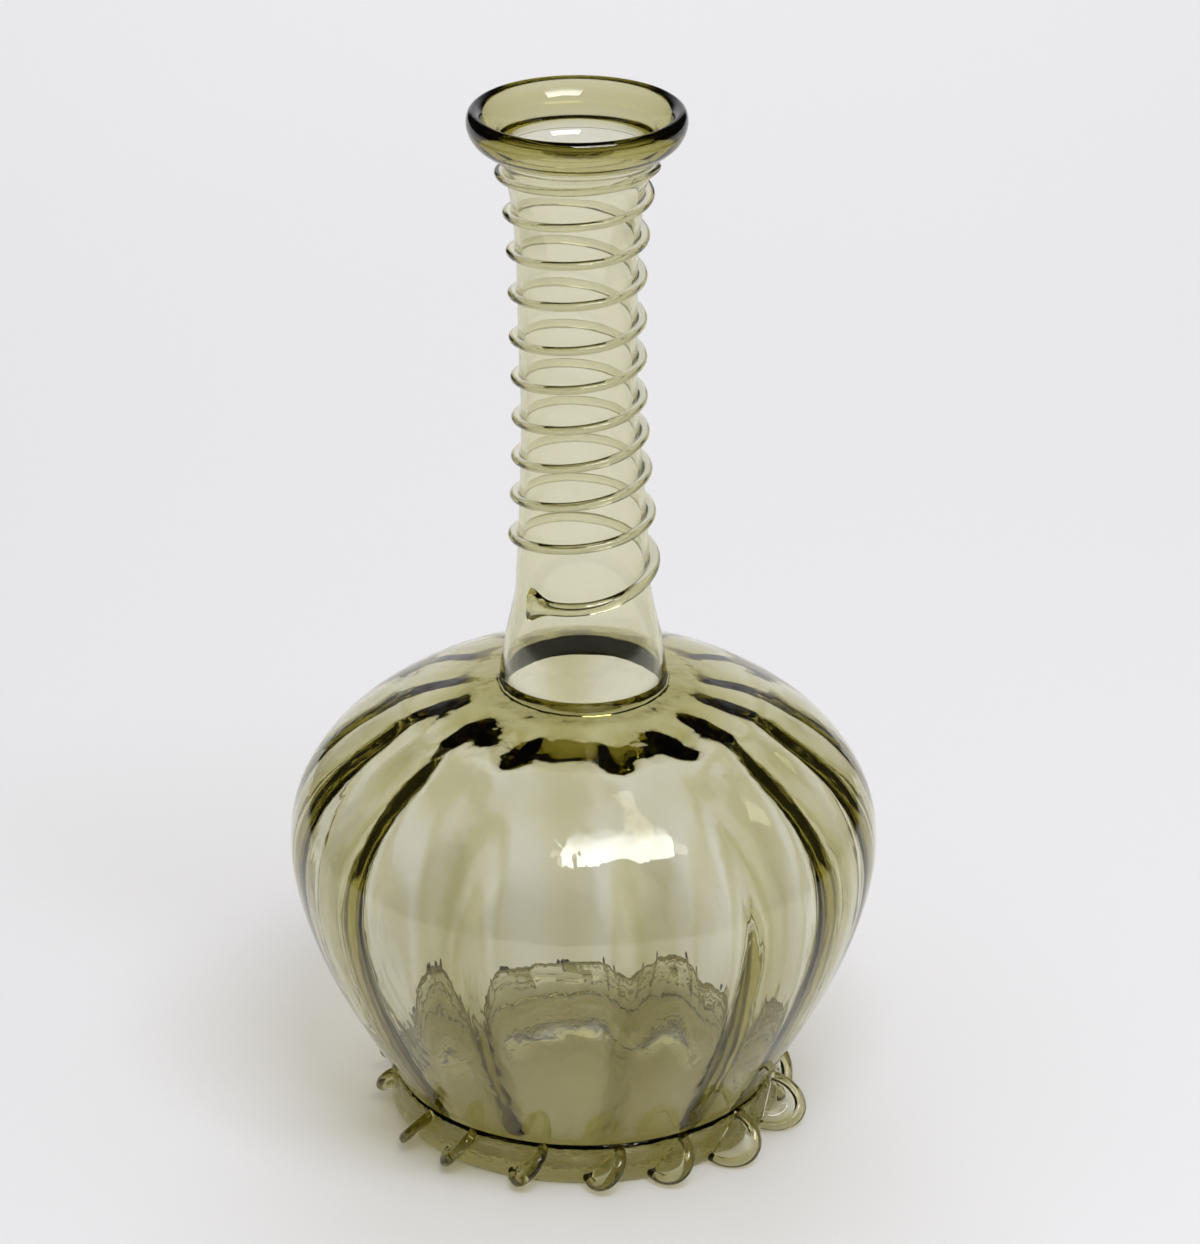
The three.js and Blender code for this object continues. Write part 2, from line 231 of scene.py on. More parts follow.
class VaseShape(bpy.types.PropertyGroup):
    """How thick the glass stands, and how its ribs and rings are drawn, in millimetres."""
    belly_height: FloatProperty(name="Belly height", description="Height of the widest part",
                                default=88, min=40)
    throat_radius: FloatProperty(name="Throat radius", description="Where the neck meets the bulb",
                                 default=25.2)
    foot_radius: FloatProperty(name="Foot radius", description="Bulb at the top of the foot trail",
                               default=58.6)
    base_edge: FloatProperty(name="Base edge", description="Radius of the rounded base edge", default=51)
    punt_height: FloatProperty(name="Punt height", description="Rise of the kicked-up base", default=14)
    wall: FloatProperty(name="Bulb wall", description="Glass thickness between the ribs",
                        default=1.05, min=0.5)
    rib_depth: FloatProperty(name="Rib depth", description="How far a rib stands into the bulb",
                             default=2.8)
    rib_half: FloatProperty(name="Rib half width", description="Half width of a rib along the wall",
                            default=15)
    point_half: FloatProperty(name="Point half width", description="Half width of a point of the shoulder",
                              default=9)
    neck_wall: FloatProperty(name="Neck wall", description="Glass thickness of the neck",
                             default=1.65, min=0.5)
    neck_lean: FloatProperty(name="Neck lean", description="How far the neck leans to the left",
                             default=1.6)
    thread_height: FloatProperty(name="Thread height", description="Height of the wound thread",
                                 default=2.7)
    thread_depth: FloatProperty(name="Thread depth", description="How far the thread stands proud",
                                default=2.8)


class VaseGlass(bpy.types.PropertyGroup):
    """The glass itself."""
    tint: FloatVectorProperty(name="Tint", description="Light that a thick piece keeps", subtype="COLOR",
                              size=3, min=0, max=1, default=(0.675, 0.64, 0.21))
    density: FloatProperty(name="Density", description="How fast the glass takes up light, per metre",
                           default=178, min=0)
    bend: FloatProperty(name="Refraction", description="Index of refraction", default=1.5, min=1, max=2)
    ripple: FloatProperty(name="Ripple", description="Strength of the tooling ripples", default=0.03, min=0)


class VaseStage(bpy.types.PropertyGroup):
    """The table, the lamps and the camera."""
    paper: FloatVectorProperty(name="Paper", description="Colour of the table and the sweep",
                               subtype="COLOR", size=3, min=0, max=1, default=(0.80, 0.79, 0.81))
    key_glow: FloatProperty(name="Key glow", description="Brightness of the softbox along its lower edge",
                            default=13.5, min=0)
    back_power: FloatProperty(name="Back power", description="Power of the lamp over the far table",
                              default=14, min=0, unit="POWER")
    room_light: FloatProperty(name="Room light", description="Even light from all round",
                              default=0.52, min=0)
    dusk: FloatProperty(name="Dusk", description="Brightness of the dark parts of the room",
                        default=0.02, min=0)
    camera_drop: FloatProperty(name="Camera drop", description="Degrees that the camera looks down",
                               default=24.29)
    camera_reach: FloatProperty(name="Camera distance", description="Millimetres from the camera to its aim",
                                default=1610)
    aim_height: FloatProperty(name="Aim height", description="Height of the camera's aim, in millimetres",
                              default=159.7)
    aim_side: FloatProperty(name="Aim side", description="Millimetres that the aim is right of the vase",
                            default=5)


# Number helpers

def smooth(low, high, value):
    """Smooth step from 0 at low to 1 at high."""
    share = np.clip((value - low) / (high - low), 0, 1)
    return share * share * (3 - 2 * share)


def lifted(least, share):
    """A share from 0 to 1, lifted so that it starts at the least."""
    return least + (1 - least) * share


def through(points, at):
    """A smooth curve through (place, value) points, read at other places."""
    places, values = np.array(points, float).T
    slopes = np.gradient(values, places)
    index = np.clip(np.searchsorted(places, at) - 1, 0, len(places) - 2)
    span = places[index + 1] - places[index]
    share = np.clip((at - places[index]) / span, 0, 1)
    rise = share * share * (3 - 2 * share)
    start = share * (1 - share) ** 2 * span * slopes[index]
    end = -share * share * (1 - share) * span * slopes[index + 1]
    return values[index] * (1 - rise) + values[index + 1] * rise + start + end


def eased(points, at, spread):
    """A line through (place, value) points, read at other places with its corners eased."""
    places, values = np.array(points, float).T
    near = [np.interp(at + spread * step, places, values) for step in (-1.6, -0.7, 0, 0.7, 1.6)]
    return sum(near) / len(near)


def evenly(points, count):
    """Points spread evenly along a polyline."""
    points = np.array(points, float)
    lengths = np.hypot(*np.diff(points, axis=0).T)
    along = np.concatenate([[0], np.cumsum(lengths)])
    at = np.linspace(0, along[-1], count)
    return np.column_stack([np.interp(at, along, column) for column in points.T])


def bend(start, corner, end, count):
    """Points of a soft bend from start to end, drawn towards the corner, ends included."""
    share = np.linspace(0, 1, count)[:, None]
    start, corner, end = (np.asarray(place, float) for place in (start, corner, end))
    return (1 - share) ** 2 * start + 2 * share * (1 - share) * corner + share ** 2 * end


def spline(points, steps):
    """A smooth curve through points; the first and the last only steer its ends."""
    points = np.array(points, float)
    share = np.linspace(0, 1, steps, endpoint=False)[:, None]
    runs = []
    for a, b, c, d in zip(points, points[1:], points[2:], points[3:]):
        run = 2 * b + (c - a) * share + (2 * a - 5 * b + 4 * c - d) * share ** 2
        runs.append((run + (3 * b - a - 3 * c + d) * share ** 3) / 2)
    return np.vstack([*runs, points[-2:-1]])


def angles(count):
    """Compass angles round the vase, from the front towards the right."""
    return np.linspace(0, 2 * math.pi, count, endpoint=False)


def polar(angle, radius, height, shift=0.0):
    """Points at compass angles from the front, stacked on the last axis."""
    parts = np.broadcast_arrays(radius * np.sin(angle) + shift, -radius * np.cos(angle), height)
    return np.stack(parts, axis=-1)


def spun(line, angle, shift=0.0):
    """Rows of points from a line of radii and heights, spun to compass angles."""
    return polar(angle[None, :], line[:, :1], line[:, 1:], shift)


def lean(context, height):
    """How far the neck stands to the side at a height."""
    share = (height - SHOULDER_HEIGHT) / (LIP_HIGH[2] - SHOULDER_HEIGHT)
    return -context.scene.vase_shape.neck_lean * smooth(*LEAN_SPAN, share)


# Mesh helpers

def grid_faces(rows, columns, closes_rows):
    """Quads of rows of points, each row closing on itself."""
    index = np.arange(rows * columns).reshape(rows, columns)
    upper = np.roll(index, -1, axis=0) if closes_rows else index[1:]
    lower = index if closes_rows else index[:-1]
    quads = np.stack([lower, np.roll(lower, -1, 1), np.roll(upper, -1, 1), upper], axis=-1)
    return quads.reshape(-1, 4).tolist()


def fan(row, middle, flipped):
    """Triangles from a closed row of indices to one middle point."""
    pairs = zip(row, row[1:] + row[:1])
    return [(b, a, middle) if flipped else (a, b, middle) for a, b in pairs]


def body_from_rows(rows, closes_rows):
    """Points and faces of one closed body from rows of points round it."""
    count, columns = rows.shape[:2]
    points = rows.reshape(-1, 3)
    faces = grid_faces(count, columns, closes_rows)
    if not closes_rows:
        middles = [rows[0].mean(axis=0), rows[-1].mean(axis=0)]
        faces += fan(list(range(columns)), len(points), True)
        faces += fan(list(range((count - 1) * columns, count * columns)), len(points) + 1, False)
        points = np.vstack([points, middles])
    return points, faces


def turned(points, faces):
    """True if the faces point in, from the volume that they enclose."""
    corners = [(face[0], face[i], face[i + 1]) for face in faces for i in range(1, len(face) - 1)]
    a, b, c = (points[column] for column in np.array(corners).T)
    return np.einsum("ij,ij->i", a, np.cross(b, c)).sum() < 0


def faces_after(rows, columns):
    """Indices of the faces that join each of these rows of a grid to the next."""
    return [row * columns + column for row in rows for column in range(columns)]


def add_piece(name, points, faces, material, node, joined=(), covered=None):
    """A smooth piece on the vase. Light passes unbent where its faces are joined to another piece
    or its points are covered by one, because on the real vase the glass is one there."""
    if turned(points, faces):
        faces = [tuple(reversed(face)) for face in faces]
    mesh = bpy.data.meshes.new(name)
    mesh.from_pydata((points * MM).tolist(), [], faces)
    mesh.shade_smooth()
    mesh.set_sharp_from_angle(angle=math.radians(50))
    flags = np.zeros(len(faces))
    flags[list(joined)] = 1
    mesh.attributes.new("joined", "FLOAT", "FACE").data.foreach_set("value", flags)
    shares = np.zeros(len(points)) if covered is None else covered
    mesh.attributes.new("covered", "FLOAT", "POINT").data.foreach_set("value", shares)
    mesh.materials.append(material)
    piece = bpy.data.objects.new(name, mesh)
    bpy.context.scene.collection.objects.link(piece)
    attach(piece, "root")
    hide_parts(node)


# Material helpers

class Wire:
    """An output socket that takes part in Python expressions."""

    def __init__(self, recipe, socket):
        self.recipe = recipe
        self.socket = socket

    def math(self, operation, first, second):
        return self.recipe.add("ShaderNodeMath", {"operation": operation}, {0: first, 1: second})

    def __add__(self, other):
        return self.math("ADD", self, other)

    def __sub__(self, other):
        return self.math("SUBTRACT", self, other)

    def __rsub__(self, other):
        return self.math("SUBTRACT", other, self)

    def __mul__(self, other):
        return self.math("MULTIPLY", self, other)

    def __gt__(self, other):
        return self.math("GREATER_THAN", self, other)

    def above(self, other):
        return self.math("MAXIMUM", self, other)

    __radd__ = __add__
    __rmul__ = __mul__


class Recipe:
    """The node tree of one material or world."""

    def __init__(self, tree):
        self.tree = tree
        tree.nodes.clear()

    def add(self, kind, settings=None, inputs=None, output=0):
        """Adds a node: its settings first, then the values or links of its sockets."""
        node = self.tree.nodes.new(kind)
        for key, value in (settings or {}).items():
            setattr(node, key, value)
        for key, value in (inputs or {}).items():
            if isinstance(value, Wire):
                self.tree.links.new(value.socket, node.inputs[key])
            else:
                node.inputs[key].default_value = value
        return Wire(self, node.outputs[output]) if len(node.outputs) else None

    def fade(self, value, edges, curve="SMOOTHSTEP"):
        """A smooth step from 0 at the first edge to 1 at the second."""
        return self.add("ShaderNodeMapRange", {"interpolation_type": curve}, {
            "Value": value, "From Min": edges[0], "From Max": edges[1]})

    def mix_colours(self, share, first, second):
        """From the first colour at a share of 0 to the second at 1."""
        return self.add("ShaderNodeMix", {"data_type": "RGBA"}, {0: share, 6: first, 7: second}, output=2)

    def rays(self, kind):
        """1 for one kind of ray, such as Is Shadow Ray, and 0 for the others."""
        return self.add("ShaderNodeLightPath", output=kind)


def new_recipe(name):
    """A new material with an empty node tree."""
    material = bpy.data.materials.new(name)
    material.use_nodes = True
    return material, Recipe(material.node_tree)


def glass_material(context, name, ripple_scale, ripple_gain, smear=0.02, depth_gain=1.0, upright=2.6):
    """Clear olive glass: refraction, tint by thickness, tooling ripples and faint smears.
    The ripples are drawn out upwards where upright is under 1, and sideways where it is over 1."""
    glass = context.scene.vase_glass
    material, recipe = new_recipe(name)
    place = recipe.add("ShaderNodeTexCoord", output="Object")
    squeezed = recipe.add("ShaderNodeVectorMath", {"operation": "MULTIPLY"}, {0: place, 1: (1, 1, upright)})
    ripples = recipe.add("ShaderNodeTexNoise", {}, {
        "Vector": squeezed, "Scale": ripple_scale, "Detail": 2.0})
    cords = recipe.add("ShaderNodeTexNoise", {}, {
        "Vector": squeezed, "Scale": 5 * ripple_scale, "Detail": 1.0})
    patches = recipe.add("ShaderNodeTexNoise", {}, {"Vector": place, "Scale": 38.0, "Detail": 3.0})
    normal = recipe.add("ShaderNodeBump", {}, {
        "Strength": glass.ripple * ripple_gain, "Distance": 0.004, "Height": ripples + cords * 0.12})
    colour = recipe.mix_colours(patches, (1.0, 1.0, 0.985, 1), (0.975, 0.978, 0.94, 1))
    body = recipe.add("ShaderNodeBsdfPrincipled", {}, {
        "Base Color": colour, "Roughness": patches * smear, "IOR": glass.bend, "Transmission Weight": 1.0,
        "Normal": normal})
    # Light on its way to the paper passes straight through, so that the vase throws a pale shadow
    clear = recipe.add("ShaderNodeBsdfTransparent", {}, {"Color": (0.87, 0.862, 0.825, 1)})
    straight = recipe.rays("Is Shadow Ray").above(recipe.rays("Is Diffuse Ray"))
    skin = recipe.add("ShaderNodeMixShader", {}, {0: straight, 1: body, 2: clear})
    joined = recipe.add("ShaderNodeAttribute", {"attribute_name": "joined"}, output="Fac")
    covered = recipe.add("ShaderNodeAttribute", {"attribute_name": "covered"}, output="Fac")
    no_skin = recipe.add("ShaderNodeBsdfTransparent", {}, {"Color": (1, 1, 1, 1)})
    skin = recipe.add("ShaderNodeMixShader", {}, {0: joined.above(covered) > 0.5, 1: skin, 2: no_skin})
    depth = recipe.add("ShaderNodeVolumeAbsorption", {}, {
        "Color": (*glass.tint, 1), "Density": glass.density * depth_gain})
    recipe.add("ShaderNodeOutputMaterial", {}, {"Surface": skin, "Volume": depth})
    return material


def paper_material(context):
    """Matt studio paper, almost even."""
    stage = context.scene.vase_stage
    material, recipe = new_recipe("studio_paper")
    place = recipe.add("ShaderNodeTexCoord", output="Object")
    mottle = recipe.add("ShaderNodeTexNoise", {}, {"Vector": place, "Scale": 2.4, "Detail": 3.0})
    darker = [0.985 * value for value in stage.paper]
    colour = recipe.mix_colours(mottle, (*stage.paper, 1), (*darker, 1))
    grain = recipe.add("ShaderNodeTexNoise", {}, {"Vector": place, "Scale": 900.0, "Detail": 2.0})
    normal = recipe.add("ShaderNodeBump", {}, {"Strength": 0.02, "Distance": 0.0005, "Height": grain})
    body = recipe.add("ShaderNodeBsdfPrincipled", {}, {
        "Base Color": colour, "Roughness": 0.9, "Specular IOR Level": 0.1, "Normal": normal})
    recipe.add("ShaderNodeOutputMaterial", {}, {"Surface": body})
    return material


def softbox_material(context):
    """Cloth that glows most along the softbox's lower edge and fades upwards."""
    material, recipe = new_recipe("softbox_cloth")
    place = recipe.add("ShaderNodeTexCoord", output="Object")
    upward = recipe.add("ShaderNodeSeparateXYZ", {}, {"Vector": place}, output="Y")
    edges = [share * KEY_HEIGHT * MM for share in KEY_FADE]
    glow = recipe.fade(upward, edges, "SMOOTHERSTEP")
    colour = recipe.mix_colours(glow, (0, 0, 0, 1), (1, 1, 1, 1))
    cloth = recipe.add("ShaderNodeBsdfPrincipled", {}, {
        "Base Color": colour, "Roughness": 1.0, "Emission Color": colour,
        "Emission Strength": context.scene.vase_stage.key_glow})
    recipe.add("ShaderNodeOutputMaterial", {}, {"Surface": cloth})
    return material


# Stage

def add_sheet(context, name, low, high, material):
    """A flat rectangle between two corners, in millimetres."""
    corners = [(low[0], low[1], 0), (high[0], low[1], 0), (high[0], high[1], 0), (low[0], high[1], 0)]
    mesh = bpy.data.meshes.new(name)
    mesh.from_pydata([tuple(Vector(corner) * MM) for corner in corners], [], [(0, 1, 2, 3)])
    mesh.materials.append(material)
    sheet = bpy.data.objects.new(name, mesh)
    context.scene.collection.objects.link(sheet)
    return sheet


def aim_at_vase(lamp, azimuth, elevation, distance, roll):
    """Puts a lamp at a compass angle and a height angle from the vase, and turns it to face it."""
    rise = math.radians(elevation)
    up = LAMP_AIM_HEIGHT + distance * math.sin(rise)
    spot = polar(math.radians(azimuth), distance * math.cos(rise), up)
    lamp.location = Vector(spot * MM)
    facing = Vector((0, 0, LAMP_AIM_HEIGHT * MM)) - lamp.location
    turn = facing.to_track_quat("-Z", "Y") @ Quaternion((0, 0, 1), math.radians(roll))
    lamp.rotation_euler = turn.to_euler()


def add_table(context):
    """The table, a long sheet of paper."""
    low, high = (-TABLE_SIDE, TABLE_FRONT), (TABLE_SIDE, TABLE_BACK)
    table = add_sheet(context, "paper_table", low, high, paper_material(context))


def add_key_lamp(context):
    """The softbox whose glow shows on the bulb. It is not seen itself, and throws no shadow."""
    half = (KEY_WIDTH / 2, KEY_HEIGHT / 2)
    box = add_sheet(context, "strip_softbox", (-half[0], -half[1]), half, softbox_material(context))
    aim_at_vase(box, *KEY_PLACE)
    box.visible_camera = False
    box.visible_shadow = False


def add_back_lamp(context):
    """The lamp over the far table, which shows neither in the glass nor through it."""
    lamp = bpy.data.lights.new("back_softbox", "AREA")
    lamp.shape = "RECTANGLE"
    lamp.size = BACK_SIDE * MM
    lamp.size_y = BACK_SIDE * MM
    lamp.energy = context.scene.vase_stage.back_power
    holder = bpy.data.objects.new("back_softbox", lamp)
    aim_at_vase(holder, *BACK_PLACE)
    holder.visible_glossy = False
    holder.visible_transmission = False
    context.scene.collection.objects.link(holder)


def add_camera(context):
    """The camera at the photograph's viewing angle."""
    stage = context.scene.vase_stage
    camera = bpy.data.cameras.new("photo_camera")
    camera.sensor_fit = "VERTICAL"
    camera.sensor_height = SENSOR_MM
    camera.lens = FOCAL_PIXELS * SENSOR_MM / FRAME_HIGH
    camera.clip_end = 20
    holder = bpy.data.objects.new("photo_camera", camera)
    drop = math.radians(stage.camera_drop)
    back = -stage.camera_reach * math.cos(drop)
    up = stage.aim_height + stage.camera_reach * math.sin(drop)
    holder.location = (stage.aim_side * MM, back * MM, up * MM)
    holder.rotation_euler = (math.pi / 2 - drop, 0, 0)
    context.scene.collection.objects.link(holder)
    context.scene.camera = holder


def set_world(context):
    """Even room light. Where the room is looked at it is paper, and rays through the glass and off it
    see it dark above, in front and at the sides, which draws the dark edges in the glass."""
    stage = context.scene.vase_stage
    world = bpy.data.worlds.new("studio_room")
    world.use_nodes = True
    recipe = Recipe(world.node_tree)
    outward = recipe.add("ShaderNodeTexCoord", output="Generated")
    side, away, height = (recipe.add("ShaderNodeSeparateXYZ", {}, {"Vector": outward}, output=axis)
                          for axis in "XYZ")
    camera = recipe.rays("Is Camera Ray")
    looked_at = camera.above(recipe.rays("Is Glossy Ray")).above(recipe.rays("Is Transmission Ray"))
    ceiling = recipe.fade(height, DARK_UP)
    front = recipe.fade(away, DARK_FRONT)
    sides = recipe.fade(side.above(0 - side), DARK_SIDE)
    low_paper = recipe.fade(height, PAPER_FROM) * recipe.fade(height, PAPER_TO)
    shaded = ceiling.above(front).above(sides) * (1 - camera) * (1 - low_paper)
    dark = (stage.dusk, stage.dusk, 1.04 * stage.dusk, 1)
    seen = recipe.mix_colours(shaded, (*stage.paper, 1), dark)
    even = (stage.room_light, stage.room_light, stage.room_light, 1)
    colour = recipe.mix_colours(looked_at, even, seen)
    glow = recipe.add("ShaderNodeBackground", {}, {"Color": colour, "Strength": 1.0})
    recipe.add("ShaderNodeOutputWorld", {}, {"Surface": glow})
    context.scene.world = world


class VASE_OT_stage(bpy.types.Operator):
    """Lay out the table, the lamps and the camera"""
    bl_idname = "vase.stage"
    bl_label = "Stage"

    def execute(self, context):
        add_table(context)
        add_key_lamp(context)
        add_back_lamp(context)
        set_world(context)
        add_camera(context)
        scene = context.scene
        scene.view_settings.view_transform = "Standard"
        scene.cycles.max_bounces = 32
        scene.cycles.transmission_bounces = 32
        scene.cycles.transparent_max_bounces = 48
        scene.cycles.glossy_bounces = 12
        scene.cycles.sample_clamp_indirect = 3
        scene.cycles.caustics_reflective = False
        scene.cycles.caustics_refractive = False
        return {"FINISHED"}


# Bulb

BULB_COLUMNS = 480
BULB_ROWS = 110
INNER_ROWS = 170
BASE_ROWS = 12
PUNT_ROWS = 10
CORNER_ROWS = 12
FLOOR_ROWS = 9
THROAT_ROWS = 30


def bulb_outline(shape):
    """Outside of the bulb from the throat down to the top of the foot trail."""
    turn = np.linspace(math.pi / 2, 0, 600)
    across = np.cos(turn).clip(0) ** (2 / UPPER_ACROSS)
    radius = shape.throat_radius + (BELLY_RADIUS - shape.throat_radius) * across
    height = shape.belly_height + (SHOULDER_HEIGHT - shape.belly_height) * np.sin(turn) ** (2 / UPPER_UP)
    upper = np.column_stack([radius, height])
    drop = np.linspace(0, 1, 400)[1:]
    swell = (1 - drop ** LOWER_BELLY).clip(0) ** LOWER_FOOT
    radius = shape.foot_radius + (BELLY_RADIUS - shape.foot_radius) * swell
    height = shape.belly_height - (shape.belly_height - RING_HEIGHT) * drop
    lower = np.column_stack([radius, height])
    return np.vstack([upper, lower])


def ridge(angle, degrees, half):
    """From 1 on a rib's crest to 0 at its foot, for a half width given as an angle."""
    away = (angle - math.radians(degrees) + math.pi) % (2 * math.pi) - math.pi
    return np.cos((np.abs(away) / half).clip(0, 1) * math.pi / 2) ** 2


def bulb_wall(shape, angle, radius, height):
    """Glass thickness at compass angles and places down the outline, as rows of columns."""
    angle, radius, height = angle[None, :], radius[:, None], height[:, None]
    shoulder = height > shape.belly_height
    gather = np.where(shoulder, eased(SHOULDER_WALL, radius, SHOULDER_EASE), shape.wall)
    points = np.where(shoulder, eased(SHOULDER_POINTS, radius, SHOULDER_EASE), 0)
    low_fade = lifted(RIB_FOOT_SHARE, smooth(RING_HEIGHT, shape.belly_height, height))
    widening = RIB_START_HALF + (shape.rib_half - RIB_START_HALF) * smooth(*RIB_WIDENS, radius)
    half = np.where(shoulder, widening, shape.rib_half)
    half = np.minimum(half / radius, math.radians(RIB_HALF_DEGREES))
    extra = np.zeros(np.broadcast_shapes(angle.shape, radius.shape))
    for degrees, start, full in RIBS:
        fade = np.where(shoulder, smooth(start, full, radius), low_fade)
        rib = shape.rib_depth * fade * ridge(angle, degrees, half)
        point = points * ridge(angle, degrees, shape.point_half / radius) ** POINT_SHARPNESS
        extra = np.where(np.abs(rib + point) > np.abs(extra), rib + point, extra)
    return gather + extra


def bulb_base(shape):
    """The rounded heel of the bulb, from the top of the foot trail to its flat base edge."""
    corner = (shape.base_edge + BASE_CORNER, BASE_LIFT)
    flat = (shape.base_edge - BASE_ROUND, BASE_LIFT)
    return bend((shape.foot_radius, RING_HEIGHT), corner, flat, BASE_ROWS)


def outside_line(shape):
    """Outside of the bulb from the throat down, round the heel and up into the kicked-up base."""
    flat = shape.base_edge - BASE_ROUND
    under = np.linspace(flat, BASE_CLOSES, PUNT_ROWS)
    rise = (shape.punt_height - BASE_LIFT) * np.cos(under / flat * math.pi / 2) ** 2
    punt = np.column_stack([under, BASE_LIFT + rise])
    return np.vstack([evenly(bulb_outline(shape), BULB_ROWS), bulb_base(shape)[1:], punt[1:]])


def inside_wall(shape, angle):
    """Radii and heights of the inside of the wall, from the shoulder down, as rows of columns."""
    line = evenly(bulb_outline(shape), INNER_ROWS)
    along = np.gradient(line, axis=0)
    along /= np.hypot(*along.T)[:, None]
    keep = line[:, 0] > shape.throat_radius + THROAT_START
    line, along = line[keep], along[keep]
    wall = bulb_wall(shape, angle, line[:, 0], line[:, 1])
    return line[:, :1] + along[:, 1:] * wall, line[:, 1:] - along[:, :1] * wall


def throat_rows(shape, angle, radius, height):
    """The throat, rounded from the neck's bore down into the shoulder at a radius and a height."""
    bore = shape.throat_radius - shape.neck_wall
    corner = (bore + THROAT_CORNER_OUT, THROAT_CORNER_HEIGHT)
    line = bend((radius, height), corner, (bore, SHOULDER_HEIGHT), THROAT_ROWS)
    return spun(line[:0:-1], angle)


def floor_rows(shape, angle, radius, height):
    """The floor from the wall's lowest radii and heights in to its middle. It starts with a soft
    corner that follows the ribs."""
    edge = shape.base_edge - FLOOR_IN
    low = BASE_LIFT + FLOOR_GLASS
    over = np.linspace(FLOOR_EDGE_SHARE, FLOOR_MIDDLE_SHARE, FLOOR_ROWS)
    hump = low + (shape.punt_height - FLOOR_FLATTER) * np.cos(over * math.pi / 2) ** 2
    corner_radius = bend(radius, radius - CORNER_IN, edge, CORNER_ROWS)[1:]
    corner_height = bend(height, low - CORNER_DROP, hump[0], CORNER_ROWS)[1:]
    corner = polar(angle[None, :], corner_radius, corner_height)
    floor = np.column_stack([edge * over / FLOOR_EDGE_SHARE, hump])
    return np.concatenate([corner, spun(floor[1:], angle)])


class VASE_OT_bulb(bpy.types.Operator):
    """Blow the ribbed bulb"""
    bl_idname = "vase.bulb"
    bl_label = "Bulb"

    def execute(self, context):
        shape = context.scene.vase_shape
        angle = angles(BULB_COLUMNS)
        outer = spun(outside_line(shape), angle)
        radius, height = inside_wall(shape, angle)
        inner = polar(angle[None, :], radius, height)
        throat = throat_rows(shape, angle, radius[0].mean(), height[0].mean())
        floor = floor_rows(shape, angle, radius[-1], height[-1])
        rows = np.concatenate([outer[::-1], throat, inner, floor])
        points, faces = body_from_rows(rows, False)
        # The bulb is one glass with the top of the foot trail, and with the neck
        joined = faces_after([len(outer) - BULB_ROWS - 1, len(outer) - 1], BULB_COLUMNS)
        material = glass_material(context, "bulb_glass", ripple_scale=55, ripple_gain=6.5, upright=0.12)
        add_piece("bulb_blown", points, faces, material, "bulb", joined)
        return {"FINISHED"}


# Neck

NECK_COLUMNS = 200
NECK_ROWS = 300


def neck_radius(height):
    """Outer radius of the neck at heights."""
    return through(NECK_OUTLINE, height)


def neck_bore(shape, height):
    """Inner radius of the neck at heights; the wall is a little thicker at the lip."""
    return neck_radius(height) - shape.neck_wall - MOUTH_EXTRA * smooth(*MOUTH_GROWS, height)


def thread_cover(shape, angle, height):
    """How far each place on the neck is under the thread: above a half where it is."""
    route = thread_route()
    cover = np.zeros((len(height), len(angle)))
    for turn in range(-1, len(THREAD_LEFT) + 1):
        along = angle + 2 * math.pi * turn
        middle, half, _ = thread_size(shape, route, along)
        away = np.abs(height[:, None] - middle[None, :]) / (THREAD_CONTACT * half[None, :])
        laid = (along >= route[0][0]) & (along <= route[-1][0])
        cover = np.maximum(cover, np.where(laid[None, :], 1 - away / 2, 0))
    return cover.clip(0, 1)


class VASE_OT_neck(bpy.types.Operator):
    """Draw the neck"""
    bl_idname = "vase.neck"
    bl_label = "Neck"

    def execute(self, context):
        shape = context.scene.vase_shape
        angle = angles(NECK_COLUMNS)
        height = np.linspace(SHOULDER_HEIGHT + JOIN_GAP, NECK_TOP, NECK_ROWS)
        shift = lean(context, height)[:, None]
        outer = spun(np.column_stack([neck_radius(height), height]), angle, shift)
        inner = spun(np.column_stack([neck_bore(shape, height), height]), angle, shift)
        points, faces = body_from_rows(np.concatenate([outer, inner[::-1]]), True)
        covered = np.zeros(len(points))
        covered[:NECK_ROWS * NECK_COLUMNS] = thread_cover(shape, angle, height).reshape(-1)
        # The neck is one glass with the lip at its top, and with the bulb at its foot
        joined = faces_after([NECK_ROWS - 1, 2 * NECK_ROWS - 1], NECK_COLUMNS)
        material = glass_material(context, "neck_glass", ripple_scale=30, ripple_gain=0.8)
        add_piece("neck_drawn", points, faces, material, "neck", joined, covered)
        return {"FINISHED"}


# Lip

LIP_COLUMNS = 240
LIP_STEPS = 9


class VASE_OT_lip(bpy.types.Operator):
    """Roll the thick lip"""
    bl_idname = "vase.lip"
    bl_label = "Lip"

    def execute(self, context):
        shape = context.scene.vase_shape
        under = np.array([NECK_TOP - LIP_STEER, NECK_TOP])
        seat = (under[0], NECK_TOP + JOIN_GAP)
        outside = list(zip(neck_radius(under), seat))
        inside = list(zip(neck_bore(shape, under), seat))
        outline = spline([*outside, *LIP_SECTION, *reversed(inside)], LIP_STEPS)
        rows = spun(outline, angles(LIP_COLUMNS), LIP_CENTRE)
        points, faces = body_from_rows(rows, True)
        joined = faces_after([len(rows) - 1], LIP_COLUMNS)
        material = glass_material(context, "lip_glass", ripple_scale=30, ripple_gain=0.8)
        add_piece("lip_rolled", points, faces, material, "lip_roll", joined)
        return {"FINISHED"}


# Thread

THREAD_ROWS = 900
THREAD_COLUMNS = 21


